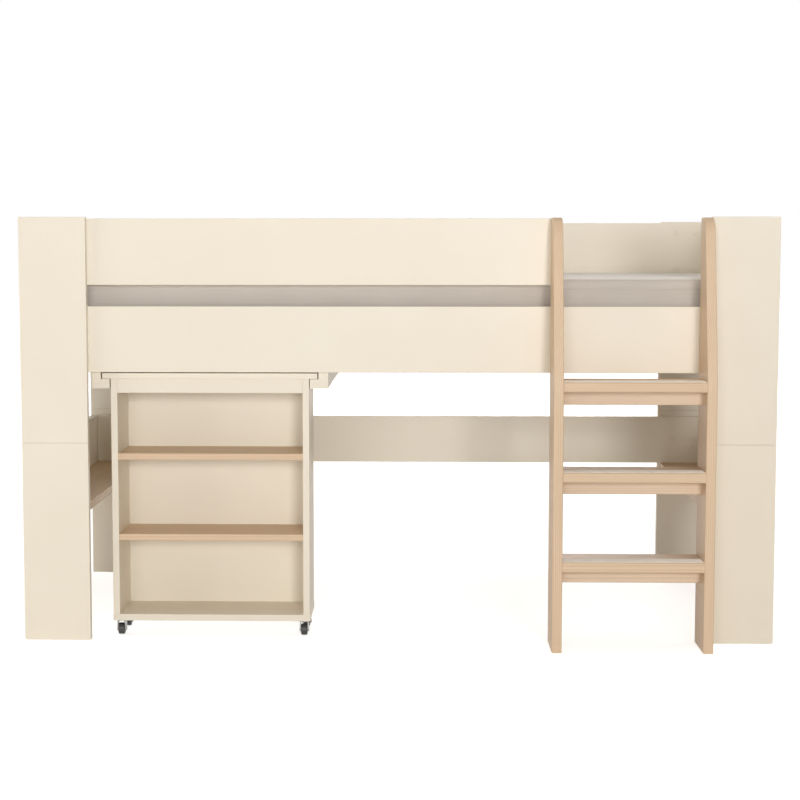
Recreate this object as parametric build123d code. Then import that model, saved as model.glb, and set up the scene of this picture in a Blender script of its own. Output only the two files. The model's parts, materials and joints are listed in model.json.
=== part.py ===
from build123d import *
from math import cos, pi, radians, sin
import os

# A mid-height loft bed: posts in two parts, side, guard and end boards, a slatted base
# with its mattress, a ladder with three treads, and a desk with a bookcase that rolls
# out on four casters between two guides under the bed.
# Millimetres. +X runs along the bed, -Y is the front, +Z is up. The origin is on the
# floor, at the middle of the whole footprint with the ladder counted in.

# Mattress and the room left round it
MATTRESS_L = 1990.0
MATTRESS_W = 896.0
MATTRESS_H = 150.0
MATTRESS_END_GAP = 5.5
MATTRESS_SIDE_GAP = 5.0
MATTRESS_CROWN = 4.0
MATTRESS_DRAW_IN = 3.0
MATTRESS_TOP_R = 20.0
MATTRESS_BOTTOM_R = 12.0
MATTRESS_CORNER_R = 45.0
CROWN_REACH = 220.0
ROUND_STEPS = 3
SIDE_STEPS = 4
CROWN_STEPS = 3
SOFT_CLEAR = 0.3

# Boards of the bed frame
BOARD = 22.0
ARRIS = 1.2
END_INSET = 4.0
POST_W = 182.0
LOWER_POST_H = 547.0
JOINT_LINE = 0.6
JOINT_LINE_D = 3.0
POST_REVEAL = 4.0
RAIL_H = 180.0
RAIL_GAP = 58.0
SIDE_RAIL_Z = 740.0
MID_RAIL_Z = 376.0
MID_RAIL_H = 152.0
END_SHELF_W = 171.5

# Slatted base
BEARER = 25.0
BEARER_RISE = 65.0
SLAT_COUNT = 14
SLAT_W = 70.0
SLAT_T = 18.0
SLAT_END_GAP = 1.0

# Ladder
LADDER_OUT = 119.0
LADDER_W = 430.0
STILE_T = 27.0
STILE_DROP = 2.0
STILE_TOP_D = 64.0
STILE_TAPER_Z = 728.0
STILE_TAPER_R = 400.0
STILE_TOP_R = 48.0
STILE_ARRIS = 2.5
TREAD_COUNT = 3
FIRST_TREAD = 244.5
TREAD_PITCH = 240.5
TREAD_T = 27.0
TREAD_SETBACK = 2.0
TREAD_ARRIS = 4.0
SUPPORT_T = 25.0
SUPPORT_H = 38.5
SUPPORT_SETBACK = 62.0
GRIP_W = 55.0
GRIP_T = 1.4
GRIP_RIB = 3.0
GRIP_GROOVE = 0.6
GRIP_EDGE = 5.0

# Desk, bookcase and guides
GUIDE_POST_GAP = 3.0
DESK_SETBACK = 4.0
DESK_TRAVEL = 500.0
DESKTOP_D = 600.0
DESKTOP_T = 16.0
DESK_T = 18.0
DESK_RAIL_GAP = 4.0
DESKTOP_SIDE_GAP = 3.25
DESK_ARRIS = 1.0
BOOKCASE_W = 547.0
BOOKCASE_D = 190.0
SHELF_PITCH = 225.2
SHELF_SETBACK = 1.0
TOP_RAIL_H = 39.0
BOTTOM_OVERHANG = 1.0
BACK_T = 4.0
BACK_INSET = 10.0
BACK_GROOVE = 6.0
GROOVE_CLEAR = 0.1
GUIDE_W = 50.0
GUIDE_GAP = 2.25
LEDGE_W = 24.0
LEDGE_H = 26.0
SLIDE_CLEAR = 0.3
STOP_T = 20.0
STOP_H = 24.0
STOP_CLEAR = 0.5

# Casters
CASTER_H = 45.0
CASTER_INSET_X = 17.5
CASTER_INSET_Y = 42.0
CASTER_TRAIL = 10.0
WHEEL_R = 16.0
WHEEL_W = 18.0
WHEEL_EDGE_R = 4.0
WHEEL_GAP = 0.6
CHEEK_T = 3.0
CHEEK_BOSS_R = 6.5
HUB_R = 14.0
HUB_H = 5.0
FLANGE_R = 13.0
FLANGE_H = 2.4
STEM_R = 4.0
STEM_L = 14.0
STEM_HEAD_R = 5.0
STEM_HEAD_H = 1.0
SWIVEL_CLEAR = 0.4
AXLE_R = 3.0
AXLE_HEAD_R = 4.2
AXLE_HEAD_H = 1.2
RUNNING_CLEAR = 0.06

# Dowels, screws and caps
DOWEL_R = 5.0
DOWEL_L = 50.0
DOWEL_FACE = 16.0
DOWEL_CLEAR = 0.05
SMALL_DOWEL_R = 4.0
SMALL_DOWEL_L = 30.0
SMALL_DOWEL_FACE = 12.0
SCREW_R = 2.5
SCREW_L = 40.0
SCREW_HEAD_R = 5.0
SCREW_HEAD_H = 3.0
SCREW_TIP = 4.0
SCREW_TIP_R = 0.5
SCREW_CLEAR = 0.05
CAP_R = 9.0
CAP_T = 2.0
CAP_EDGE_R = 0.8
FIX_EDGE = 71.0
FIX_PITCH = 64.0
FIX_ROW = 58.0
MID_FIX_DROP = 28.0
DOWEL_SPREAD = 45.0

# Lengths and heights worked out from the sizes above
INNER_HALF = MATTRESS_L / 2 + MATTRESS_END_GAP
HALF_L = INNER_HALF + BOARD + END_INSET
INNER_W = MATTRESS_W + 2 * MATTRESS_SIDE_GAP
DEPTH = INNER_W + 4 * BOARD
FRONT = (LADDER_OUT - DEPTH) / 2
REAR = FRONT + DEPTH
FRONT_RAIL = FRONT + BOARD
FRONT_INNER = FRONT_RAIL + BOARD
REAR_RAIL = REAR - BOARD
REAR_INNER = REAR_RAIL - BOARD
POST_EDGE = HALF_L - POST_W
END_X = INNER_HALF + BOARD / 2

SIDE_TOP = SIDE_RAIL_Z + RAIL_H
GUARD_Z = SIDE_TOP + RAIL_GAP
GUARD_TOP = GUARD_Z + RAIL_H
POST_TOP = GUARD_TOP + POST_REVEAL
MID_TOP = MID_RAIL_Z + MID_RAIL_H
SHELF_Z = MID_RAIL_Z - BOARD
BEARER_Z = SIDE_RAIL_Z + BEARER_RISE
SLAT_Z = BEARER_Z + BEARER
MATTRESS_Z = SLAT_Z + SLAT_T + SOFT_CLEAR
SLAT_PITCH = (2 * INNER_HALF - SLAT_COUNT * SLAT_W) / (SLAT_COUNT + 1) + SLAT_W

STILE_FRONT = FRONT - LADDER_OUT
STILE_TOP = POST_TOP - STILE_DROP
RIGHT_STILE_X = POST_EDGE - STILE_T
LEFT_STILE_X = POST_EDGE - LADDER_W
TREAD_LEFT = LEFT_STILE_X + STILE_T
TREAD_RIGHT = RIGHT_STILE_X
TREAD_FRONT = STILE_FRONT + TREAD_SETBACK
TREAD_REAR = FRONT_RAIL - TREAD_SETBACK
SUPPORT_FRONT = TREAD_FRONT + SUPPORT_SETBACK

DESK_FRONT = FRONT_INNER + DESK_SETBACK
DESKTOP_TOP = SIDE_RAIL_Z - DESK_RAIL_GAP
DESKTOP_Z = DESKTOP_TOP - DESKTOP_T
DESKTOP_REAR = DESK_FRONT + DESKTOP_D
LEDGE_TOP = DESKTOP_Z - SLIDE_CLEAR
GUIDE_Z = LEDGE_TOP - LEDGE_H
LEDGE_EDGE = BOOKCASE_W / 2 + GUIDE_GAP
REBATE_WALL = LEDGE_EDGE + LEDGE_W
GUIDE_OUTER = LEDGE_EDGE + GUIDE_W
DESK_X = GUIDE_POST_GAP + GUIDE_OUTER - POST_EDGE
DESKTOP_HALF = REBATE_WALL - DESKTOP_SIDE_GAP
SIDE_PANEL_Z = CASTER_H + DESK_T
BOOKCASE_HALF = BOOKCASE_W / 2
BAY_HALF = BOOKCASE_HALF - DESK_T
BOOKCASE_REAR = DESK_FRONT + BOOKCASE_D
BACK_FRONT = BOOKCASE_REAR - BACK_INSET - BACK_T
STOP_FRONT = FRONT_INNER + DESK_TRAVEL

HUB_TOP = CASTER_H - FLANGE_H - SWIVEL_CLEAR
HUB_Z = HUB_TOP - HUB_H
CHEEK_IN = WHEEL_W / 2 + WHEEL_GAP
CHEEK_OUT = CHEEK_IN + CHEEK_T


def slab(x0, x1, y0, y1, z0, z1, arris=0.0):
    """A board between two corners, with all its edges softened."""
    middle = Pos((x0 + x1) / 2, (y0 + y1) / 2, (z0 + z1) / 2)
    board = middle * Box(x1 - x0, y1 - y0, z1 - z0)
    return fillet(board.edges(), arris) if arris else board


def meet(p, q):
    """Whether two bounding boxes meet."""
    return (p.min.X < q.max.X and q.min.X < p.max.X
            and p.min.Y < q.max.Y and q.min.Y < p.max.Y
            and p.min.Z < q.max.Z and q.min.Z < p.max.Z)


def drill(board, holes):
    """Cut from a board every hole that reaches it; each hole comes with its box."""
    box = board.bounding_box()
    near = [hole for hole, hole_box in holes if meet(box, hole_box)]
    return board - near if near else board


def rod(start, direction, radius, length):
    """A round rod that runs from a point along a direction."""
    return Plane(origin=start, z_dir=direction) * Pos(0, 0, length / 2) * Cylinder(radius, length)


def big_dowel(joint, clear=0.0):
    """A frame dowel: the joint gives where the two pieces meet and the way into the end."""
    point, way, face_depth = joint
    start = Vector(*point) - Vector(*way) * face_depth
    return rod(start, way, DOWEL_R + clear, DOWEL_L)


def small_dowel(joint, clear=0.0):
    """A bookcase dowel, given in the same way."""
    point, way = joint
    start = Vector(*point) - Vector(*way) * SMALL_DOWEL_FACE
    return rod(start, way, SMALL_DOWEL_R + clear, SMALL_DOWEL_L)


def screw(place, clear=0.0):
    """A countersunk wood screw whose head is flush at the place's point."""
    point, way = place
    head, shank = SCREW_HEAD_R + clear, SCREW_R + clear
    outline = Polyline(
        (0, 0), (head, 0), (shank, SCREW_HEAD_H), (shank, SCREW_L - SCREW_TIP),
        (SCREW_TIP_R + clear, SCREW_L), (0, SCREW_L), close=True)
    turned = revolve(Plane.XZ * make_face(outline), Axis.Z)
    return Plane(origin=point, z_dir=way) * turned


def cap(place):
    """A round cover cap that lies on the board over a screw head."""
    point, way = place
    disc = Pos(0, 0, -CAP_T / 2) * Cylinder(CAP_R, CAP_T)
    disc = fillet(disc.faces().sort_by(Axis.Z)[0].edges(), CAP_EDGE_R)
    return Plane(origin=point, z_dir=way) * disc


def rail_middle(z0, height=RAIL_H):
    """The middle height of a rail."""
    return z0 + height / 2


def post_fixings(inner_y, way, z, rows, sides=(-1, 1), steps=(0, 1)):
    """Screws that hold one long rail to its posts, driven from inside the bed."""
    spots = []
    for side in sides:
        for step in steps:
            for row in rows:
                x = side * (HALF_L - FIX_EDGE - step * FIX_PITCH)
                spots.append(((x, inner_y, z + row), way))
    return spots


def capped_screws():
    """Every screw that holds a long rail to a post or to a ladder stile."""
    rows = (-FIX_ROW, FIX_ROW)
    to_front, to_rear = (0, -1, 0), (0, 1, 0)
    spots = post_fixings(FRONT_INNER, to_front, rail_middle(GUARD_Z), rows, (-1,))
    spots += post_fixings(FRONT_INNER, to_front, rail_middle(SIDE_RAIL_Z), rows)
    spots += post_fixings(REAR_INNER, to_rear, rail_middle(GUARD_Z), rows)
    spots += post_fixings(REAR_INNER, to_rear, rail_middle(SIDE_RAIL_Z), rows)
    middle_rail = rail_middle(MID_RAIL_Z, MID_RAIL_H)
    spots += post_fixings(REAR_INNER, to_rear, middle_rail, (0,))
    spots += post_fixings(REAR_INNER, to_rear, middle_rail, (-MID_FIX_DROP,), steps=(0,))
    for row in rows:
        guard, side = rail_middle(GUARD_Z) + row, rail_middle(SIDE_RAIL_Z) + row
        left, right = LEFT_STILE_X + STILE_T / 2, RIGHT_STILE_X + STILE_T / 2
        spots.append(((left, FRONT_INNER, guard), to_front))
        spots.append(((left, FRONT_INNER, side), to_front))
        spots.append(((right, FRONT_INNER, side), to_front))
    return spots


def slat_centres():
    """Where the middle of each slat lies along the bed."""
    first = -INNER_HALF + SLAT_PITCH - SLAT_W / 2
    return [first + i * SLAT_PITCH for i in range(SLAT_COUNT)]


def base_screws():
    """Screws that hold the slats to the bearers and the bearers to the side rails."""
    spots = []
    for y, way in ((FRONT_INNER, -1), (REAR_INNER, 1)):
        middle = y - way * BEARER / 2
        for x in slat_centres():
            spots.append(((x, middle, SLAT_Z + SLAT_T), (0, 0, -1)))
        for x in slat_centres()[::2]:
            between = x + SLAT_PITCH / 2
            spots.append(((between, y - way * BEARER, BEARER_Z + BEARER / 2), (0, way, 0)))
    return spots


def end_board_joints():
    """Dowels that hold each end board and end shelf between its two posts."""
    joints = []
    boards = ((rail_middle(GUARD_Z), FIX_ROW), (rail_middle(SIDE_RAIL_Z), FIX_ROW),
              (rail_middle(MID_RAIL_Z, MID_RAIL_H), DOWEL_SPREAD))
    for side in (-1, 1):
        for face, way in ((FRONT_RAIL, (0, 1, 0)), (REAR_RAIL, (0, -1, 0))):
            for z, spread in boards:
                for row in (-spread, spread):
                    joints.append(((side * END_X, face, z + row), way, DOWEL_FACE))
            shelf_x = INNER_HALF + BOARD - END_SHELF_W / 2
            for step in (-DOWEL_SPREAD, DOWEL_SPREAD):
                x = side * (shelf_x + step)
                joints.append(((x, face, SHELF_Z + BOARD / 2), way, DOWEL_FACE))
    return joints


def post_joints():
    """Dowels that stand in the joint between each lower and upper post."""
    joints = []
    for side in (-1, 1):
        for y in (FRONT + BOARD / 2, REAR - BOARD / 2):
            for step in (-DOWEL_SPREAD, DOWEL_SPREAD):
                x = side * (HALF_L - POST_W / 2) + step
                joints.append(((x, y, LOWER_POST_H), (0, 0, 1), DOWEL_L / 2))
    return joints


def guide_joints():
    """Dowels that hold each desk guide between the two side rails."""
    joints = []
    wall = (REBATE_WALL + GUIDE_OUTER) / 2
    for side in (-1, 1):
        for face, way in ((FRONT_INNER, (0, 1, 0)), (REAR_INNER, (0, -1, 0))):
            for share in (1, 3):
                z = SIDE_RAIL_Z + BEARER_RISE * share / 4
                joints.append(((DESK_X + side * wall, face, z), way, DOWEL_FACE))
    return joints


def tread_top(i):
    """The height of the top of one tread."""
    return FIRST_TREAD + i * TREAD_PITCH


def tread_joints():
    """Dowels that hold the treads and their supports between the stiles."""
    joints = []
    middle = (TREAD_FRONT + TREAD_REAR) / 2
    for i in range(TREAD_COUNT):
        top = tread_top(i)
        tread_z, support_z = top - TREAD_T / 2, top - TREAD_T - SUPPORT_H / 2
        spots = [(middle - DOWEL_SPREAD, tread_z), (middle + DOWEL_SPREAD, tread_z),
                 (SUPPORT_FRONT + SUPPORT_T / 2, support_z)]
        for y, z in spots:
            joints.append(((TREAD_LEFT, y, z), (1, 0, 0), DOWEL_FACE))
            joints.append(((TREAD_RIGHT, y, z), (-1, 0, 0), DOWEL_FACE))
    return joints


def bookcase_joints():
    """Dowels that hold the bookcase, the desktop and its stop together."""
    joints = []
    middle_y = (DESK_FRONT + BACK_FRONT) / 2
    for side in (-1, 1):
        x = DESK_X + side * (BOOKCASE_HALF - DESK_T / 2)
        inner = DESK_X + side * BAY_HALF
        for step in (-DOWEL_SPREAD, DOWEL_SPREAD):
            joints.append(((x, middle_y + step, SIDE_PANEL_Z), (0, 0, 1)))
            joints.append(((x, middle_y + step, DESKTOP_Z), (0, 0, -1)))
            for z in shelf_heights():
                joints.append(((inner, middle_y + step, z - DESK_T / 2), (-side, 0, 0)))
        rail_z = DESKTOP_Z - TOP_RAIL_H / 2
        joints.append(((inner, DESK_FRONT + DESK_T / 2, rail_z), (-side, 0, 0)))
    for share in (-1, 0, 1):
        x = DESK_X + share * DESKTOP_HALF / 2
        joints.append(((x, STOP_FRONT + STOP_T / 2, DESKTOP_TOP), (0, 0, 1)))
    return joints


def shelf_heights():
    """The top of each bookcase shelf."""
    return [SIDE_PANEL_Z + step * SHELF_PITCH for step in (1, 2)]


FRAME_JOINTS = end_board_joints() + post_joints() + guide_joints() + tread_joints()
BOOKCASE_JOINTS = bookcase_joints()
CAPPED = capped_screws()
SCREWS = CAPPED + base_screws()
FRAME_CUTS = ([big_dowel(joint, DOWEL_CLEAR) for joint in FRAME_JOINTS]
              + [screw(place, SCREW_CLEAR) for place in SCREWS])
BOOKCASE_CUTS = [small_dowel(joint, DOWEL_CLEAR) for joint in BOOKCASE_JOINTS]
FRAME_HOLES = [(cut, cut.bounding_box()) for cut in FRAME_CUTS]
BOOKCASE_HOLES = [(cut, cut.bounding_box()) for cut in BOOKCASE_CUTS]


def frame_board(x0, x1, y0, y1, z0, z1):
    """A board of the bed frame with its holes."""
    return drill(slab(x0, x1, y0, y1, z0, z1, ARRIS), FRAME_HOLES)


def post(side, front, upper):
    """One half of a post: a flat board that faces the front or the rear."""
    x0, x1 = sorted((side * HALF_L, side * POST_EDGE))
    y0 = FRONT if front else REAR_RAIL
    z0, z1 = (LOWER_POST_H, POST_TOP) if upper else (0.0, LOWER_POST_H)
    board = frame_board(x0, x1, y0, y0 + BOARD, z0, z1)
    return board - joint_line(x0, x1, y0) if upper else board


def joint_line(x0, x1, y0):
    """The fine line round the foot of an upper post."""
    y1, z1 = y0 + BOARD, LOWER_POST_H + JOINT_LINE
    whole = slab(x0, x1, y0, y1, LOWER_POST_H, z1)
    core = slab(x0 + JOINT_LINE_D, x1 - JOINT_LINE_D, y0 + JOINT_LINE_D, y1 - JOINT_LINE_D,
                LOWER_POST_H, z1)
    return whole - core


def long_rail(y0, z0, height, x1=INNER_HALF):
    """A rail along the bed, between the end boards or up to the ladder."""
    return frame_board(-INNER_HALF, x1, y0, y0 + BOARD, z0, z0 + height)


def end_board(side, z0, height):
    """A board across one end of the bed, between its two posts."""
    x0, x1 = sorted((side * INNER_HALF, side * (INNER_HALF + BOARD)))
    return frame_board(x0, x1, FRONT_RAIL, REAR_RAIL, z0, z0 + height)


def end_shelf(side):
    """The wooden shelf board under the middle rail of one end."""
    outer = INNER_HALF + BOARD
    x0, x1 = sorted((side * outer, side * (outer - END_SHELF_W)))
    return frame_board(x0, x1, FRONT_RAIL, REAR_RAIL, SHELF_Z, MID_RAIL_Z)


def slat_bearer(y0):
    """A batten on the inner face of a side rail, for the slats to lie on."""
    batten = slab(-INNER_HALF, INNER_HALF, y0, y0 + BEARER, BEARER_Z, SLAT_Z)
    return drill(batten, FRAME_HOLES)


def slats():
    """The slats across the bed."""
    y0, y1 = FRONT_INNER + SLAT_END_GAP, REAR_INNER - SLAT_END_GAP
    boards = []
    for x in slat_centres():
        board = slab(x - SLAT_W / 2, x + SLAT_W / 2, y0, y1, SLAT_Z, SLAT_Z + SLAT_T, ARRIS)
        boards.append(drill(board, FRAME_HOLES))
    return boards


def mattress_levels():
    """How far in the outline lies at each height: round below, drawn in at the sides,
    round above and crowned."""
    low, top_r = MATTRESS_BOTTOM_R, MATTRESS_TOP_R
    shoulder = MATTRESS_H - MATTRESS_CROWN
    side = shoulder - low - top_r
    turns = [radians(90 * step / ROUND_STEPS) for step in range(ROUND_STEPS + 1)]
    levels = [(low - low * sin(turn), low - low * cos(turn)) for turn in turns]
    for step in range(1, SIDE_STEPS):
        share = step / SIDE_STEPS
        levels.append((MATTRESS_DRAW_IN * sin(pi * share), low + side * share))
    levels += [(top_r - top_r * cos(turn), shoulder - top_r + top_r * sin(turn)) for turn in turns]
    for step in range(1, CROWN_STEPS + 1):
        share = step / CROWN_STEPS
        levels.append((top_r + CROWN_REACH * share,
                       shoulder + MATTRESS_CROWN * (1 - (1 - share) ** 2)))
    return levels


def mattress():
    """The mattress, as a crowned block with round corners."""
    middle_y = (FRONT_INNER + REAR_INNER) / 2
    outlines = []
    for inset, height in mattress_levels():
        outline = RectangleRounded(MATTRESS_L - 2 * inset, MATTRESS_W - 2 * inset,
                                   MATTRESS_CORNER_R)
        outlines.append(Pos(0, middle_y, MATTRESS_Z + height) * outline)
    return loft(outlines, ruled=True)


def ladder_stile(x0):
    """A ladder side: straight to the top tread, then tapering to a round top."""
    points = [(FRONT_RAIL, 0), (STILE_FRONT, 0), (STILE_FRONT, STILE_TAPER_Z),
              (FRONT_RAIL - STILE_TOP_D, STILE_TOP), (FRONT_RAIL, STILE_TOP)]
    outline = make_face(Polyline(*points, close=True))
    corners = outline.vertices()
    knee = corners.sort_by_distance((STILE_FRONT, STILE_TAPER_Z, 0))[0]
    outline = fillet(knee, STILE_TAPER_R)
    crest = outline.vertices().sort_by_distance((FRONT_RAIL - STILE_TOP_D, STILE_TOP, 0))[0]
    outline = fillet(crest, STILE_TOP_R)
    side = Pos(x0, 0, 0) * extrude(Plane.YZ * outline, STILE_T)
    flats = side.faces().filter_by(Axis.X)
    side = fillet(flats.edges(), STILE_ARRIS)
    return drill(side, FRAME_HOLES)


def ladder_tread(i):
    """One tread, flush between the stiles, with its front edges rounded."""
    top = tread_top(i)
    board = slab(TREAD_LEFT, TREAD_RIGHT, TREAD_FRONT, TREAD_REAR, top - TREAD_T, top)
    long_edges = board.edges().filter_by(Axis.X)
    return drill(fillet(long_edges, TREAD_ARRIS), FRAME_HOLES)


def tread_support(i):
    """The bar under one tread."""
    top = tread_top(i) - TREAD_T
    bar = slab(TREAD_LEFT, TREAD_RIGHT, SUPPORT_FRONT, SUPPORT_FRONT + SUPPORT_T,
               top - SUPPORT_H, top)
    lower_edges = bar.edges().filter_by(Axis.X).sort_by(Axis.Z)[:2]
    return drill(fillet(lower_edges, STILE_ARRIS), FRAME_HOLES)


def grip_strip(i):
    """A ribbed non-slip strip along the front of one tread."""
    y0, z0 = TREAD_FRONT + GRIP_EDGE, tread_top(i)
    strip = slab(TREAD_LEFT, TREAD_RIGHT, y0, y0 + GRIP_W, z0, z0 + GRIP_T)
    grooves = []
    y = y0 + GRIP_RIB
    while y + 2 * GRIP_RIB <= y0 + GRIP_W:
        grooves.append(slab(TREAD_LEFT, TREAD_RIGHT, y, y + GRIP_RIB,
                            z0 + GRIP_T - GRIP_GROOVE, z0 + GRIP_T))
        y += 2 * GRIP_RIB
    return strip - grooves


def desk_guide(side):
    """A guide under the bed: a wall between the side rails, with a ledge that is
    rebated for the desktop and stopped behind it."""
    x = [DESK_X + side * offset for offset in (LEDGE_EDGE, REBATE_WALL, GUIDE_OUTER)]
    wall = slab(min(x[1], x[2]), max(x[1], x[2]), FRONT_INNER, REAR_INNER, GUIDE_Z, BEARER_Z)
    ledge = slab(min(x[0], x[1]), max(x[0], x[1]), FRONT_INNER, REAR_INNER, GUIDE_Z, LEDGE_TOP)
    block = slab(min(x[0], x[1]), max(x[0], x[1]), DESKTOP_REAR + STOP_CLEAR, REAR_INNER,
                 LEDGE_TOP, DESKTOP_TOP)
    return drill(wall + ledge + block, FRAME_HOLES)


def desk_board(x0, x1, y0, y1, z0, z1):
    """A board of the desk or bookcase with its dowel holes."""
    return drill(slab(x0, x1, y0, y1, z0, z1, DESK_ARRIS), BOOKCASE_HOLES)


def desktop():
    """The desktop, which slides between the guides."""
    return desk_board(DESK_X - DESKTOP_HALF, DESK_X + DESKTOP_HALF, DESK_FRONT, DESKTOP_REAR,
                      DESKTOP_Z, DESKTOP_TOP)


def back_groove(clear):
    """The space of the back panel, let into the sides and the bottom."""
    half = BAY_HALF + BACK_GROOVE + clear
    return slab(DESK_X - half, DESK_X + half, BACK_FRONT - clear, BACK_FRONT + BACK_T + clear,
                SIDE_PANEL_Z - BACK_GROOVE - clear, DESKTOP_Z)


def bookcase_side(side):
    """An upright panel of the bookcase."""
    x0, x1 = sorted((DESK_X + side * BAY_HALF, DESK_X + side * BOOKCASE_HALF))
    panel = desk_board(x0, x1, DESK_FRONT, BOOKCASE_REAR, SIDE_PANEL_Z, DESKTOP_Z)
    return panel - back_groove(GROOVE_CLEAR)


def bookcase_bottom():
    """The bottom board, which carries the casters."""
    half = BOOKCASE_HALF + BOTTOM_OVERHANG
    board = desk_board(DESK_X - half, DESK_X + half, DESK_FRONT, BOOKCASE_REAR,
                       CASTER_H, SIDE_PANEL_Z)
    stems = [rod((x, y, CASTER_H), (0, 0, 1), STEM_R + DOWEL_CLEAR, STEM_L)
             for x, y in caster_places().values()]
    return board - back_groove(GROOVE_CLEAR) - stems


def bookcase_top_rail():
    """The front rail under the desktop."""
    return desk_board(DESK_X - BAY_HALF, DESK_X + BAY_HALF, DESK_FRONT, DESK_FRONT + DESK_T,
                      DESKTOP_Z - TOP_RAIL_H, DESKTOP_Z)


def bookcase_shelf(top):
    """A wooden shelf between the bookcase sides."""
    return desk_board(DESK_X - BAY_HALF, DESK_X + BAY_HALF, DESK_FRONT + SHELF_SETBACK,
                      BACK_FRONT, top - DESK_T, top)


def desk_stop():
    """The batten on the desktop that meets the side rail when the desk is drawn out."""
    return desk_board(DESK_X - DESKTOP_HALF, DESK_X + DESKTOP_HALF, STOP_FRONT,
                      STOP_FRONT + STOP_T, DESKTOP_TOP, DESKTOP_TOP + STOP_H)


def caster_places():
    """Where the swivel axis of each caster stands."""
    places = {}
    for depth, y in (("front", DESK_FRONT + CASTER_INSET_Y),
                     ("rear", BOOKCASE_REAR - CASTER_INSET_Y)):
        for name, side in (("left", -1), ("right", 1)):
            places[f"{depth}_{name}"] = (DESK_X + side * (BOOKCASE_HALF - CASTER_INSET_X), y)
    return places


def caster_stem(x, y):
    """The steel stem that is pressed into the bookcase and carries the fork."""
    flange = rod((x, y, CASTER_H - FLANGE_H), (0, 0, 1), FLANGE_R, FLANGE_H)
    low = HUB_Z - SWIVEL_CLEAR - STEM_HEAD_H
    shaft = rod((x, y, low), (0, 0, 1), STEM_R, CASTER_H + STEM_L - low)
    head = rod((x, y, low), (0, 0, 1), STEM_HEAD_R, STEM_HEAD_H)
    return flange + shaft + head


def caster_fork(x, y):
    """The fork: a hub that turns on the stem and two cheeks that hold the axle."""
    hub = rod((x, y, HUB_Z), (0, 0, 1), HUB_R, HUB_H)
    axle_y = y - CASTER_TRAIL
    reach = (HUB_R ** 2 - CHEEK_OUT ** 2) ** 0.5 if HUB_R > CHEEK_OUT else HUB_R / 2
    outline = make_hull(
        Polyline((y + reach, HUB_TOP), (axle_y - CHEEK_BOSS_R, HUB_TOP)).edges()
        + (Pos(axle_y, WHEEL_R) * Circle(CHEEK_BOSS_R)).edges())
    fork = hub
    for side in (-1, 1):
        start = x + (CHEEK_IN if side > 0 else -CHEEK_OUT)
        fork += Pos(start, 0, 0) * extrude(Plane.YZ * outline, CHEEK_T)
    pin_hole = rod((x, y, HUB_Z), (0, 0, 1), STEM_R + RUNNING_CLEAR, HUB_H)
    axle_hole = rod((x - CHEEK_OUT, axle_y, WHEEL_R), (1, 0, 0), AXLE_R + DOWEL_CLEAR,
                    2 * CHEEK_OUT)
    return fork - pin_hole - axle_hole


def caster_axle(x, y):
    """The axle, with a head outside each cheek."""
    start = (x - CHEEK_OUT, y - CASTER_TRAIL, WHEEL_R)
    shaft = rod(start, (1, 0, 0), AXLE_R, 2 * CHEEK_OUT)
    left = rod(start, (-1, 0, 0), AXLE_HEAD_R, AXLE_HEAD_H)
    right = rod((x + CHEEK_OUT,) + start[1:], (1, 0, 0), AXLE_HEAD_R, AXLE_HEAD_H)
    return shaft + left + right


def caster_wheel(x, y):
    """The wheel, with rounded shoulders and a bore that runs on the axle."""
    start = (x - WHEEL_W / 2, y - CASTER_TRAIL, WHEEL_R)
    wheel = rod(start, (1, 0, 0), WHEEL_R, WHEEL_W)
    wheel = fillet(wheel.edges().filter_by(GeomType.CIRCLE), WHEEL_EDGE_R)
    return wheel - rod(start, (1, 0, 0), AXLE_R + RUNNING_CLEAR, WHEEL_W)


def bed_frame():
    """Posts, rails, end boards and the slatted base."""
    nodes = {}
    for end, side in (("left", -1), ("right", 1)):
        for depth, front in (("front", True), ("rear", False)):
            nodes[f"{depth}_{end}_lower_post"] = post(side, front, False)
            nodes[f"{depth}_{end}_upper_post"] = post(side, front, True)
        nodes[f"{end}_end_guard_board"] = end_board(side, GUARD_Z, RAIL_H)
        nodes[f"{end}_end_side_board"] = end_board(side, SIDE_RAIL_Z, RAIL_H)
        nodes[f"{end}_end_middle_rail"] = end_board(side, MID_RAIL_Z, MID_RAIL_H)
        nodes[f"{end}_end_shelf"] = end_shelf(side)
    nodes["front_guard_rail"] = long_rail(FRONT_RAIL, GUARD_Z, RAIL_H, TREAD_LEFT)
    nodes["front_side_rail"] = long_rail(FRONT_RAIL, SIDE_RAIL_Z, RAIL_H)
    nodes["rear_guard_rail"] = long_rail(REAR_INNER, GUARD_Z, RAIL_H)
    nodes["rear_side_rail"] = long_rail(REAR_INNER, SIDE_RAIL_Z, RAIL_H)
    nodes["rear_middle_rail"] = long_rail(REAR_INNER, MID_RAIL_Z, MID_RAIL_H)
    nodes["slat_bearers"] = [slat_bearer(FRONT_INNER), slat_bearer(REAR_INNER - BEARER)]
    nodes["bed_slats"] = slats()
    nodes["mattress"] = mattress()
    nodes["frame_dowels"] = [big_dowel(joint) for joint in FRAME_JOINTS]
    nodes["wood_screws"] = [screw(place) for place in SCREWS]
    nodes["screw_caps"] = [cap(place) for place in CAPPED]
    return nodes


def ladder():
    """The ladder's stiles, treads, supports and grip strips."""
    steps = range(TREAD_COUNT)
    nodes = {"ladder_left_stile": ladder_stile(LEFT_STILE_X),
             "ladder_right_stile": ladder_stile(RIGHT_STILE_X)}
    for i in steps:
        nodes[f"ladder_tread_{i + 1}"] = ladder_tread(i)
    nodes["ladder_tread_supports"] = [tread_support(i) for i in steps]
    nodes["ladder_grip_strips"] = [grip_strip(i) for i in steps]
    return nodes


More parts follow.
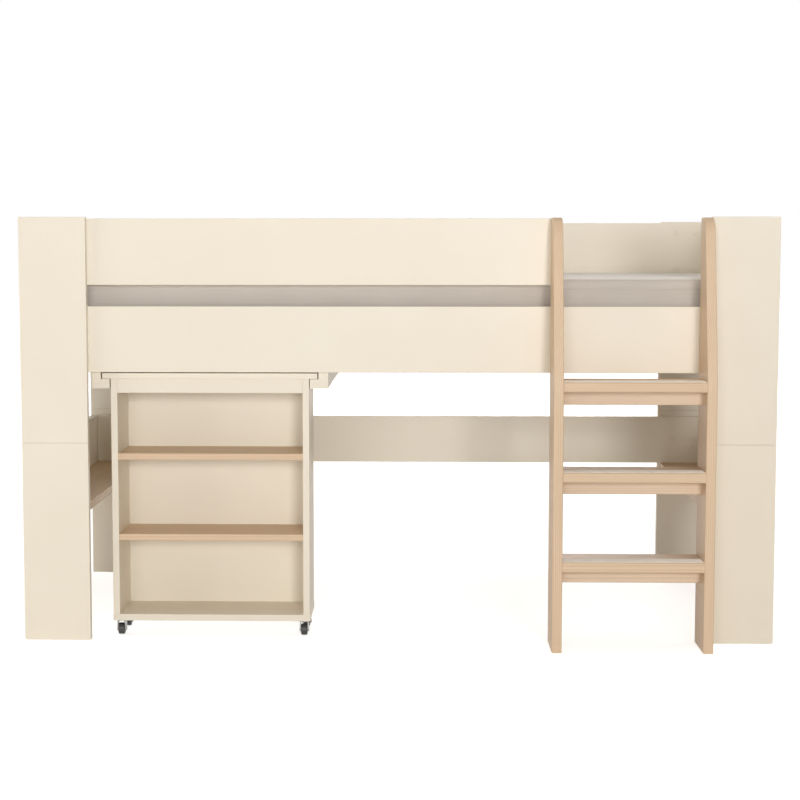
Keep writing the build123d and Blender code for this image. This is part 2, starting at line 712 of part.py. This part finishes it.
def desk():
    """The guides, the desktop, the bookcase and its casters."""
    lower, upper = shelf_heights()
    nodes = {
        "left_desk_guide": desk_guide(-1),
        "right_desk_guide": desk_guide(1),
        "desktop": desktop(),
        "desk_stop": desk_stop(),
        "bookcase_left_side": bookcase_side(-1),
        "bookcase_right_side": bookcase_side(1),
        "bookcase_bottom": bookcase_bottom(),
        "bookcase_top_rail": bookcase_top_rail(),
        "bookcase_back": back_groove(0.0),
        "bookcase_lower_shelf": bookcase_shelf(lower),
        "bookcase_upper_shelf": bookcase_shelf(upper),
        "bookcase_dowels": [small_dowel(joint) for joint in BOOKCASE_JOINTS],
        "caster_stems": [caster_stem(x, y) for x, y in caster_places().values()],
    }
    for name, (x, y) in caster_places().items():
        nodes[f"{name}_caster_fork"] = caster_fork(x, y)
        nodes[f"{name}_caster_axle"] = caster_axle(x, y)
        nodes[f"{name}_caster_wheel"] = caster_wheel(x, y)
    return nodes


def export_all():
    """Write one STEP file for each node."""
    os.makedirs("parts", exist_ok=True)
    for name, shape in {**bed_frame(), **ladder(), **desk()}.items():
        solid = Compound(children=shape) if isinstance(shape, list) else shape
        export_step(solid, f"parts/{name}.step")


export_all()
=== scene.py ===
import json
import math
import random

import bmesh
import bpy
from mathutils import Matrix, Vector, noise


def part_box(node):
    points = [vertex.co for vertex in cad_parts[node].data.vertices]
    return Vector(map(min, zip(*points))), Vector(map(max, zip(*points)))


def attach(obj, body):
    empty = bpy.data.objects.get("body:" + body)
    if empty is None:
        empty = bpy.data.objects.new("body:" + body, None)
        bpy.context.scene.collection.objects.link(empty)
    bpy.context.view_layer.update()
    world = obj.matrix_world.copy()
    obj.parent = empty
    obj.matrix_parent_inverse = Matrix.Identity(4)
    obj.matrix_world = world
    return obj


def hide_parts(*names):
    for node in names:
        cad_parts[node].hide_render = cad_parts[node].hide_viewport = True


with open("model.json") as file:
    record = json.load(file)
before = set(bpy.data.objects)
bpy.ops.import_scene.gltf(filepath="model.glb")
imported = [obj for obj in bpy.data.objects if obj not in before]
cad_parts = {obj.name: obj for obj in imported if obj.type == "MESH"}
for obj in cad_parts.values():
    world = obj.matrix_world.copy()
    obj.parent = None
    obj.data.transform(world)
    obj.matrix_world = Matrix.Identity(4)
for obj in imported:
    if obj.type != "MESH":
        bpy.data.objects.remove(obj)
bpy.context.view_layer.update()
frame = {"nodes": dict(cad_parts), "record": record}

# Metres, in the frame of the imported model: +X along the bed, -Y the front, +Z up.

SEED = 7

# Camera
CAMERA_PLACE = (0.0574, -4.9703, 1.0814)
CAMERA_PITCH = 4.945
CAMERA_YAW = 1.450
FOCAL_PIXELS = 1677.5
PHOTO_PIXELS = 800
SENSOR_MM = 36.0
AXIS_PIXEL_X = 376
AXIS_PIXEL_Y = 392

# Light: the world lights the object warmly and shows white behind it
AMBIENT = 0.17
BACKDROP_GLOW = 1.0
WARM = (1.0, 0.80, 0.58)
WHITE = (1.0, 1.0, 1.0)
FLOOR_SIZE = 60.0
FLOOR_ALBEDO = 0.86
FLOOR_GLOW = 0.68
FLOOR_FADE_START = 1.6
FLOOR_FADE_END = 4.0
BED_MIDDLE = (0.0, 0.0, 0.6)
UNDER_BED = (-1.0, 0.4, 0.3)
# Name, place, target, width, height and watts
LAMPS = (("key", (1.65, -9.2, 1.9), BED_MIDDLE, 1.4, 2.0, 275),
         ("fill", (-1.1, -9.2, 1.9), BED_MIDDLE, 3.4, 2.4, 155),
         ("low_side", (-3.4, -1.6, 0.6), UNDER_BED, 1.4, 1.0, 20),
         ("top", (0.0, -1.2, 4.2), BED_MIDDLE, 3.2, 2.4, 30),
         ("left", (-6.5, 1.6, 3.8), BED_MIDDLE, 2.6, 2.0, 60),
         ("right", (6.5, 1.6, 3.8), BED_MIDDLE, 2.6, 2.0, 60),
         ("back", (0.0, 8.5, 3.4), BED_MIDDLE, 4.0, 2.4, 240))

# Colours, as linear values
CREAM_LIGHT = (0.835, 0.772, 0.655)
CREAM_DARK = (0.805, 0.738, 0.615)
PALE_WOOD_LIGHT = (0.745, 0.570, 0.395)
PALE_WOOD_DARK = (0.590, 0.405, 0.250)
SUPPORT_LIGHT = (0.760, 0.610, 0.460)
SUPPORT_DARK = (0.620, 0.450, 0.300)
PINE_LIGHT = (0.740, 0.570, 0.370)
PINE_DARK = (0.590, 0.400, 0.220)
BEECH_LIGHT = (0.640, 0.450, 0.270)
BEECH_DARK = (0.540, 0.350, 0.190)
BORDER_LIGHT = (0.640, 0.590, 0.545)
BORDER_DARK = (0.540, 0.495, 0.450)
TICKING_LIGHT = (0.920, 0.885, 0.835)
TICKING_DARK = (0.870, 0.835, 0.785)
TAPE_LIGHT = (0.640, 0.595, 0.540)
TAPE_DARK = (0.560, 0.510, 0.460)
GRIP_LIGHT = (0.900, 0.860, 0.780)
GRIP_DARK = (0.840, 0.790, 0.710)
ZINC_LIGHT = (0.620, 0.620, 0.600)
ZINC_DARK = (0.500, 0.500, 0.480)
STEEL_LIGHT = (0.420, 0.420, 0.410)
STEEL_DARK = (0.300, 0.300, 0.290)
WHEEL_LIGHT = (0.055, 0.055, 0.056)
WHEEL_DARK = (0.035, 0.035, 0.036)
CAP_LIGHT = (0.830, 0.770, 0.650)
CAP_DARK = (0.790, 0.730, 0.610)

# Wood: pitch of the growth rings, share of late wood, how far the pith stands off the board
RING_PITCH = 0.0042
LATE_WOOD = 0.75
PITH_OFFSET = 0.16
GRAIN_TURNS = {"X": (0.0, 0.020, 0.014), "Y": (0.018, 0.0, 0.012), "Z": (0.016, 0.012, 0.0)}
GRAIN_OF = {"end_shelf": "Y", "stile": "Z", "bed_slats": "Y"}
STRIPS = {"left_end_shelf": ("X", 0.058), "right_end_shelf": ("X", 0.058),
          "bookcase_lower_shelf": ("Y", 0.062), "bookcase_upper_shelf": ("Y", 0.062)}

# Mattress
MATTRESS_EDGE_R = 0.010
MATTRESS_CORNER_R = 0.045
MATTRESS_START_INSET = 0.004
MATTRESS_VOXEL = 0.013
MATTRESS_SWELL = 0.007
MATTRESS_WAVE = 0.0016
MATTRESS_WAVE_DEPTH = 0.06
CLOTH_FRAMES = 20
SEAM_BELOW_TOP = 0.030
SEAM_R = 0.0022
SEAM_POINTS = 420
SEAM_SIDES = 8
TICKING_FACING = 0.93
BORDER_THREAD = 0.0016
TICKING_THREAD = 0.0013
TAPE_THREAD = 0.0010
SLUB = 0.3


def new_material(name):
    """An empty node material and its shader."""
    material = bpy.data.materials.new(name)
    material.use_nodes = True
    shader = material.node_tree.nodes["Principled BSDF"]
    return material, shader


def add_node(material, kind, inputs=None, **settings):
    """A node with its settings and the values of its sockets."""
    node = material.node_tree.nodes.new(kind)
    for key, value in settings.items():
        setattr(node, key, value)
    for key, value in (inputs or {}).items():
        node.inputs[key].default_value = value
    return node


def join(material, output, target):
    material.node_tree.links.new(output, target)


def object_place(material, scale=(1, 1, 1), offset=(0, 0, 0), turn=(0, 0, 0)):
    """Object coordinates, stretched, moved and turned."""
    source = add_node(material, "ShaderNodeTexCoord")
    mapping = add_node(material, "ShaderNodeMapping",
                       {"Scale": scale, "Location": offset, "Rotation": turn})
    join(material, source.outputs["Object"], mapping.inputs["Vector"])
    return mapping.outputs["Vector"]


def noise_at(material, place, scale, detail=2.0, roughness=0.5):
    node = add_node(material, "ShaderNodeTexNoise",
                    {"Scale": scale, "Detail": detail, "Roughness": roughness})
    join(material, place, node.inputs["Vector"])
    return node.outputs["Fac"]


def ramp(material, value, stops):
    """A colour ramp through (place, colour) stops."""
    node = add_node(material, "ShaderNodeValToRGB")
    elements = node.color_ramp.elements
    while len(elements) < len(stops):
        elements.new(0.5)
    for element, (where, colour) in zip(elements, stops):
        element.position = where
        element.color = (*colour, 1.0)
    join(material, value, node.inputs["Fac"])
    return node.outputs["Color"]


def scaled(material, value, low, high):
    """A value from 0..1 spread over a range."""
    node = add_node(material, "ShaderNodeMapRange", {"To Min": low, "To Max": high})
    join(material, value, node.inputs["Value"])
    return node.outputs["Result"]


def calculated(material, operation, first, second):
    node = add_node(material, "ShaderNodeMath", operation=operation)
    for index, value in enumerate((first, second)):
        if hasattr(value, "is_linked"):
            join(material, value, node.inputs[index])
        else:
            node.inputs[index].default_value = value
    return node.outputs["Value"]


def relief(material, shader, height, depth, strength):
    node = add_node(material, "ShaderNodeBump", {"Strength": strength, "Distance": depth})
    join(material, height, node.inputs["Height"])
    join(material, node.outputs["Normal"], shader.inputs["Normal"])


def wave_scale(pitch):
    """The scale at which Blender's wave texture repeats after a length."""
    return 2 * math.pi / (20 * pitch)


def lacquer_material(name, light, dark, roughness):
    """Sprayed satin lacquer: faint clouds of tone and a fine orange peel."""
    material, shader = new_material(name)
    place = object_place(material)
    clouds = noise_at(material, place, 2.3, 3.0, 0.55)
    join(material, ramp(material, clouds, [(0.3, dark), (0.7, light)]),
         shader.inputs["Base Color"])
    smears = noise_at(material, place, 11.0, 3.0, 0.6)
    join(material, scaled(material, smears, roughness - 0.05, roughness + 0.05),
         shader.inputs["Roughness"])
    peel = noise_at(material, place, 420.0, 2.0, 0.5)
    relief(material, shader, peel, 0.0002, 0.12)
    return material


def wood_material(name, grain, light, dark, seed, lamella=None):
    """Solid wood: growth rings about a pith outside the board, stretched along the grain,
    with fibres and long streaks. A lamella is (axis, width) of the glued strips."""
    rng = random.Random(seed)
    axis = "XYZ".index(grain)
    material, shader = new_material(name)
    offset = [rng.uniform(-0.09, 0.09) for _ in range(3)]
    across = [i for i in range(3) if i != axis]
    offset[across[0]] += rng.choice((-1, 1)) * PITH_OFFSET
    stretch = [1.0, 1.0, 1.0]
    stretch[axis] = 0.11
    ring_place = object_place(material, stretch, offset, GRAIN_TURNS[grain])
    frequency = wave_scale(RING_PITCH)
    rings = add_node(material, "ShaderNodeTexWave",
                     {"Scale": frequency, "Distortion": 4.2, "Detail": 3.0,
                      "Detail Scale": 0.035, "Detail Roughness": 0.55},
                     wave_type="RINGS", rings_direction=grain, wave_profile="SIN")
    join(material, ring_place, rings.inputs["Vector"])
    late = scaled(material, calculated(material, "POWER", rings.outputs["Fac"], 2.2),
                  0.0, LATE_WOOD)
    stretch = [260.0, 260.0, 260.0]
    stretch[axis] = 7.0
    fibres = noise_at(material, object_place(material, stretch), 1.0, 3.0, 0.6)
    stretch = [26.0, 26.0, 26.0]
    stretch[axis] = 1.3
    streaks = noise_at(material, object_place(material, stretch, offset), 1.0, 3.0, 0.55)
    tone = calculated(material, "ADD", calculated(material, "MULTIPLY", late, 0.45),
                      calculated(material, "MULTIPLY", fibres, 0.30))
    tone = calculated(material, "ADD", tone, calculated(material, "MULTIPLY", streaks, 0.42))
    if lamella:
        tone = calculated(material, "ADD", tone, lamella_tone(material, *lamella))
    middle = tuple((a + b) / 2 for a, b in zip(light, dark))
    colour = ramp(material, tone, [(0.18, light), (0.55, middle), (0.92, dark)])
    join(material, colour, shader.inputs["Base Color"])
    join(material, scaled(material, fibres, 0.42, 0.58), shader.inputs["Roughness"])
    height = calculated(material, "SUBTRACT", fibres, calculated(material, "MULTIPLY", late, 0.4))
    relief(material, shader, height, 0.0003, 0.22)
    return material


def lamella_tone(material, axis, width):
    """A tone of its own for each glued strip across a panel."""
    source = add_node(material, "ShaderNodeTexCoord")
    split = add_node(material, "ShaderNodeSeparateXYZ")
    join(material, source.outputs["Object"], split.inputs["Vector"])
    along = calculated(material, "DIVIDE", split.outputs[axis], width)
    strip = calculated(material, "FLOOR", along, 0.0)
    white = add_node(material, "ShaderNodeTexWhiteNoise", noise_dimensions="1D")
    join(material, strip, white.inputs["W"])
    return scaled(material, white.outputs["Value"], -0.10, 0.10)


def fabric_material(name, light, dark, thread):
    """Woven cloth: two crossing threads, slubs and a soft sheen."""
    material, shader = new_material(name)
    frequency = wave_scale(thread)
    weave = None
    for direction in "XYZ":
        wave = add_node(material, "ShaderNodeTexWave",
                        {"Scale": frequency, "Distortion": 0.6, "Detail": 1.0,
                         "Detail Scale": 0.4},
                        wave_type="BANDS", bands_direction=direction)
        join(material, object_place(material), wave.inputs["Vector"])
        weave = wave.outputs["Fac"] if weave is None else calculated(
            material, "MAXIMUM", weave, wave.outputs["Fac"])
    slubs = noise_at(material, object_place(material, (9.0, 60.0, 240.0)), 1.0, 3.0, 0.6)
    clouds = noise_at(material, object_place(material), 5.0, 2.0)
    tone = calculated(material, "ADD", calculated(material, "MULTIPLY", slubs, SLUB),
                      calculated(material, "MULTIPLY", clouds, 0.4))
    tone = calculated(material, "ADD", tone, calculated(material, "MULTIPLY", weave, 0.25))
    join(material, ramp(material, tone, [(0.25, dark), (0.75, light)]),
         shader.inputs["Base Color"])
    join(material, scaled(material, slubs, 0.80, 0.95), shader.inputs["Roughness"])
    shader.inputs["Sheen Weight"].default_value = 0.25
    shader.inputs["Sheen Roughness"].default_value = 0.5
    shader.inputs["Specular IOR Level"].default_value = 0.25
    relief(material, shader, weave, 0.0004, 0.35)
    return material


def metal_material(name, light, dark, roughness):
    """Plated steel with a faint grain in its gloss."""
    material, shader = new_material(name)
    place = object_place(material)
    tone = noise_at(material, place, 160.0, 3.0, 0.6)
    join(material, ramp(material, tone, [(0.3, dark), (0.7, light)]),
         shader.inputs["Base Color"])
    join(material, scaled(material, noise_at(material, place, 60.0), roughness - 0.08,
                          roughness + 0.08), shader.inputs["Roughness"])
    shader.inputs["Metallic"].default_value = 1.0
    relief(material, shader, tone, 0.0001, 0.1)
    return material


def plastic_material(name, light, dark, roughness, grain=900.0):
    """Moulded plastic with a fine spark texture."""
    material, shader = new_material(name)
    place = object_place(material)
    tone = noise_at(material, place, 35.0, 2.0)
    join(material, ramp(material, tone, [(0.3, dark), (0.7, light)]),
         shader.inputs["Base Color"])
    spark = noise_at(material, place, grain, 2.0, 0.6)
    join(material, scaled(material, spark, roughness - 0.06, roughness + 0.06),
         shader.inputs["Roughness"])
    relief(material, shader, spark, 0.0001, 0.15)
    return material


def dress(node, material):
    """Give a CAD node its material."""
    slots = frame["nodes"][node].data.materials
    slots.clear()
    slots.append(material)


def dress_frame():
    """A material for every CAD node; the mattress is replaced later."""
    cream = lacquer_material("cream_lacquer", CREAM_LIGHT, CREAM_DARK, 0.42)
    cap = plastic_material("cap_plastic", CAP_LIGHT, CAP_DARK, 0.45)
    grip = plastic_material("grip_strip", GRIP_LIGHT, GRIP_DARK, 0.72, 1400.0)
    zinc = metal_material("zinc_steel", ZINC_LIGHT, ZINC_DARK, 0.35)
    steel = metal_material("caster_steel", STEEL_LIGHT, STEEL_DARK, 0.38)
    wheel = plastic_material("caster_tread", WHEEL_LIGHT, WHEEL_DARK, 0.45)
    beech = wood_material("dowel_wood", "X", BEECH_LIGHT, BEECH_DARK, SEED)
    shared = {"cream_lacquer": cream, "cap_plastic": cap, "grip_strip": grip,
              "zinc_steel": zinc, "caster_steel": steel, "caster_tread": wheel,
              "dowel_wood": beech, "mattress_cover": cream}
    slot_of = {s["node"]: s["material_slot"] for s in frame["record"]["subparts"]}
    for index, name in enumerate(sorted(frame["nodes"])):
        slot = slot_of[name]
        if slot in shared:
            dress(name, shared[slot])
            continue
        grain = next((g for key, g in GRAIN_OF.items() if key in name), "X")
        light, dark = ((PINE_LIGHT, PINE_DARK) if slot == "raw_pine"
                       else (SUPPORT_LIGHT, SUPPORT_DARK) if "supports" in name
                       else (PALE_WOOD_LIGHT, PALE_WOOD_DARK))
        dress(name, wood_material(f"wood_{name}", grain, light, dark, SEED + index,
                                  lamella=STRIPS.get(name)))


def mesh_object(name, build):
    """A mesh object whose bmesh is filled by a function."""
    mesh = bpy.data.meshes.new(name)
    shape = bmesh.new()
    build(shape)
    shape.to_mesh(mesh)
    shape.free()
    piece = bpy.data.objects.new(name, mesh)
    bpy.context.scene.collection.objects.link(piece)
    return piece


def shade_smooth(piece):
    piece.data.polygons.foreach_set("use_smooth", [True] * len(piece.data.polygons))


def apply_modifiers(piece):
    bpy.context.view_layer.update()
    graph = bpy.context.evaluated_depsgraph_get()
    mesh = bpy.data.meshes.new_from_object(piece.evaluated_get(graph))
    piece.modifiers.clear()
    piece.data = mesh


def round_outline(half_x, half_y, radius, steps=8):
    """Points round a rectangle with round corners, anticlockwise."""
    points = []
    for quarter in range(4):
        sx = 1 if quarter in (0, 3) else -1
        sy = 1 if quarter in (0, 1) else -1
        for step in range(steps + 1):
            turn = math.pi / 2 * (quarter + step / steps)
            points.append((sx * (half_x - radius) + radius * math.cos(turn),
                           sy * (half_y - radius) + radius * math.sin(turn)))
    return points


def mattress_start(low, high):
    """The mattress before it swells: stacked round outlines, closed above and below."""
    middle = (low + high) / 2
    half = (high - low) / 2 - Vector((MATTRESS_START_INSET,) * 3)

    def build(shape):
        levels = []
        for step in range(5):
            turn = math.pi / 2 * step / 4
            levels.append((MATTRESS_EDGE_R * (1 - math.sin(turn)),
                           -half.z + MATTRESS_EDGE_R * (1 - math.cos(turn))))
        levels += [(inset, -z) for inset, z in reversed(levels)]
        rings = []
        for inset, z in levels:
            outline = round_outline(half.x - inset, half.y - inset, MATTRESS_CORNER_R)
            rings.append([shape.verts.new((middle.x + x, middle.y + y, middle.z + z))
                          for x, y in outline])
        for lower, upper in zip(rings, rings[1:]):
            for i in range(len(lower)):
                j = (i + 1) % len(lower)
                shape.faces.new((lower[i], lower[j], upper[j], upper[i]))
        shape.faces.new(list(reversed(rings[0])))
        shape.faces.new(rings[-1])

    return mesh_object("mattress_body", build)


def swell(piece, cap):
    """Puff a closed mesh as cloth under pressure, with no point going further than the cap."""
    rest = [v.co.copy() for v in piece.data.vertices]
    cloth = piece.modifiers.new("cloth", "CLOTH")
    settings = cloth.settings
    settings.quality = 5
    settings.mass = 0.3
    settings.tension_stiffness = 15
    settings.compression_stiffness = 15
    settings.shear_stiffness = 5
    settings.bending_stiffness = 2
    settings.use_pressure = True
    settings.uniform_pressure_force = 4.0
    settings.effector_weights.gravity = 0.0
    cloth.point_cache.frame_start = 1
    cloth.point_cache.frame_end = CLOTH_FRAMES
    scene = bpy.context.scene
    for step in range(1, CLOTH_FRAMES + 1):
        scene.frame_set(step)
    apply_modifiers(piece)
    scene.frame_set(1)
    for vertex, start in zip(piece.data.vertices, rest):
        moved = vertex.co - start
        if moved.length > cap:
            vertex.co = start + moved * (cap / moved.length)


def mattress_body(low, high):
    piece = mattress_start(low, high)
    remesh = piece.modifiers.new("remesh", "REMESH")
    remesh.mode = "VOXEL"
    remesh.voxel_size = MATTRESS_VOXEL
    apply_modifiers(piece)
    swell(piece, MATTRESS_SWELL)
    smooth = piece.modifiers.new("subdivision", "SUBSURF")
    smooth.levels = 1
    smooth.render_levels = 1
    apply_modifiers(piece)
    settle(piece, low, high)
    return piece


def settle(piece, low, high):
    """Let the top wave a little, and keep the body inside its space."""
    for vertex in piece.data.vertices:
        co = vertex.co
        if co.z > high.z - MATTRESS_WAVE_DEPTH:
            co.z += MATTRESS_WAVE * noise.noise(Vector((co.x * 4.0, co.y * 4.0, SEED)))
        co.z = min(max(co.z, low.z), high.z)
        co.x = min(max(co.x, low.x), high.x)
        co.y = min(max(co.y, low.y), high.y)
    shade_smooth(piece)


def paint_mattress(piece, seam_z, border, ticking):
    """Ticking on the upper side, border cloth on the rest."""
    piece.data.materials.clear()
    piece.data.materials.append(border)
    piece.data.materials.append(ticking)
    for face in piece.data.polygons:
        on_top = face.center.z > seam_z and face.normal.z > TICKING_FACING
        face.material_index = 1 if on_top else 0


def side_points(piece, z):
    """The outline of the body at one height, as points and normals spread round it."""
    low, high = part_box("mattress")
    middle = (low + high) / 2
    points = []
    outline = round_outline((high.x - low.x) / 2, (high.y - low.y) / 2, MATTRESS_CORNER_R, 6)
    lengths = [0.0]
    closed = outline + outline[:1]
    for a, b in zip(closed, closed[1:]):
        lengths.append(lengths[-1] + math.dist(a, b))
    for i in range(SEAM_POINTS):
        want = lengths[-1] * i / SEAM_POINTS
        k = max(j for j in range(len(outline)) if lengths[j] <= want)
        share = (want - lengths[k]) / max(lengths[k + 1] - lengths[k], 1e-9)
        a, b = closed[k], closed[k + 1]
        x = a[0] + (b[0] - a[0]) * share
        y = a[1] + (b[1] - a[1]) * share
        outside = Vector((middle.x + x * 1.02, middle.y + y * 1.03, z))
        inward = Vector((middle.x + x * 0.8, middle.y + y * 0.8, z)) - outside
        hit, place, normal, _ = piece.ray_cast(outside, inward.normalized())
        if hit:
            points.append((place, normal))
    return points


def seam_cord(name, piece, z, material):
    """A sewn tape cord that follows the body round at one height."""
    places = side_points(piece, z)

    def build(shape):
        rings = []
        turns = [2 * math.pi * k / SEAM_SIDES for k in range(SEAM_SIDES)]
        for i, (place, normal) in enumerate(places):
            ahead = places[(i + 1) % len(places)][0] - places[i - 1][0]
            along = ahead.normalized()
            out = (normal - along * normal.dot(along)).normalized()
            up = along.cross(out)
            centre = place - out * (SEAM_R * 0.35)
            rings.append([shape.verts.new(centre + (out * math.cos(turn) + up * math.sin(turn))
                                          * SEAM_R) for turn in turns])
        for i, ring in enumerate(rings):
            after = rings[(i + 1) % len(rings)]
            for k in range(SEAM_SIDES):
                n = (k + 1) % SEAM_SIDES
                shape.faces.new((ring[k], ring[n], after[n], after[k]))
        bmesh.ops.recalc_face_normals(shape, faces=shape.faces)

    cord = mesh_object(name, build)
    shade_smooth(cord)
    cord.data.materials.append(material)
    return cord


def make_mattress():
    low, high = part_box("mattress")
    border = fabric_material("mattress_border", BORDER_LIGHT, BORDER_DARK, BORDER_THREAD)
    ticking = fabric_material("mattress_ticking", TICKING_LIGHT, TICKING_DARK, TICKING_THREAD)
    tape = fabric_material("mattress_tape", TAPE_LIGHT, TAPE_DARK, TAPE_THREAD)
    body = mattress_body(low, high)
    seam_z = high.z - SEAM_BELOW_TOP
    paint_mattress(body, seam_z, border, ticking)
    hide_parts("mattress")
    pieces = [body,
              seam_cord("mattress_upper_seam", body, seam_z, tape),
              seam_cord("mattress_lower_seam", body, low.z + SEAM_BELOW_TOP, tape)]
    for piece in pieces:
        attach(piece, "bed_frame")


def area_light(name, place, target, width, height, watts):
    data = bpy.data.lights.new(name, "AREA")
    data.shape = "RECTANGLE"
    data.size = width
    data.size_y = height
    data.energy = watts
    lamp = bpy.data.objects.new(name, data)
    lamp.location = place
    lamp.rotation_euler = (Vector(target) - Vector(place)).to_track_quat("-Z", "Y").to_euler()
    lamp.visible_camera = False
    bpy.context.scene.collection.objects.link(lamp)


def camera_ray_factor(owner):
    """1 for what the camera sees straight or in a gloss or glass, 0 for light on the object."""
    path = add_node(owner, "ShaderNodeLightPath")
    seen = calculated(owner, "MAXIMUM", path.outputs["Is Camera Ray"],
                      path.outputs["Is Glossy Ray"])
    return calculated(owner, "MAXIMUM", seen, path.outputs["Is Transmission Ray"])


def make_world():
    world = bpy.data.worlds.new("studio")
    world.use_nodes = True
    bpy.context.scene.world = world
    background = world.node_tree.nodes["Background"]
    seen = camera_ray_factor(world)
    join(world, ramp(world, seen, [(0.0, WARM), (1.0, WHITE)]), background.inputs["Color"])
    join(world, scaled(world, seen, AMBIENT, BACKDROP_GLOW), background.inputs["Strength"])


def floor_material():
    """A pale floor that keeps the shadow near the object and fades to white further out."""
    material = bpy.data.materials.new("floor")
    material.use_nodes = True
    material.node_tree.nodes.clear()
    diffuse = add_node(material, "ShaderNodeBsdfDiffuse",
                       {"Color": (FLOOR_ALBEDO, FLOOR_ALBEDO, FLOOR_ALBEDO, 1.0)})
    glow = add_node(material, "ShaderNodeEmission", {"Color": (*WHITE, 1.0)})
    place = add_node(material, "ShaderNodeTexCoord")
    reach = add_node(material, "ShaderNodeVectorMath", operation="LENGTH")
    join(material, place.outputs["Object"], reach.inputs[0])
    fade = add_node(material, "ShaderNodeMapRange",
                    {"From Min": FLOOR_FADE_START, "From Max": FLOOR_FADE_END,
                     "To Min": FLOOR_GLOW, "To Max": BACKDROP_GLOW},
                    interpolation_type="SMOOTHSTEP")
    join(material, reach.outputs["Value"], fade.inputs["Value"])
    strength = add_node(material, "ShaderNodeMapRange", {"To Min": 0.0})
    join(material, camera_ray_factor(material), strength.inputs["Value"])
    join(material, fade.outputs["Result"], strength.inputs["To Max"])
    join(material, strength.outputs["Result"], glow.inputs["Strength"])
    both = add_node(material, "ShaderNodeAddShader")
    output = add_node(material, "ShaderNodeOutputMaterial")
    join(material, diffuse.outputs[0], both.inputs[0])
    join(material, glow.outputs[0], both.inputs[1])
    join(material, both.outputs[0], output.inputs["Surface"])
    return material


def make_floor():
    def build(shape):
        bmesh.ops.create_grid(shape, x_segments=2, y_segments=2, size=FLOOR_SIZE / 2)

    floor = mesh_object("floor", build)
    floor.data.materials.append(floor_material())


def make_camera():
    data = bpy.data.cameras.new("camera")
    data.sensor_width = SENSOR_MM
    data.sensor_fit = "HORIZONTAL"
    data.lens = FOCAL_PIXELS / PHOTO_PIXELS * SENSOR_MM
    data.shift_x = (PHOTO_PIXELS / 2 - AXIS_PIXEL_X) / PHOTO_PIXELS
    data.shift_y = (AXIS_PIXEL_Y - PHOTO_PIXELS / 2) / PHOTO_PIXELS
    camera = bpy.data.objects.new("camera", data)
    camera.location = CAMERA_PLACE
    camera.rotation_euler = (math.radians(90 - CAMERA_PITCH), 0.0, math.radians(CAMERA_YAW))
    bpy.context.scene.collection.objects.link(camera)
    bpy.context.scene.camera = camera


make_camera()
make_world()
for lamp in LAMPS:
    area_light(*lamp)
make_floor()
dress_frame()
make_mattress()
bpy.context.scene.view_settings.view_transform = "Standard"
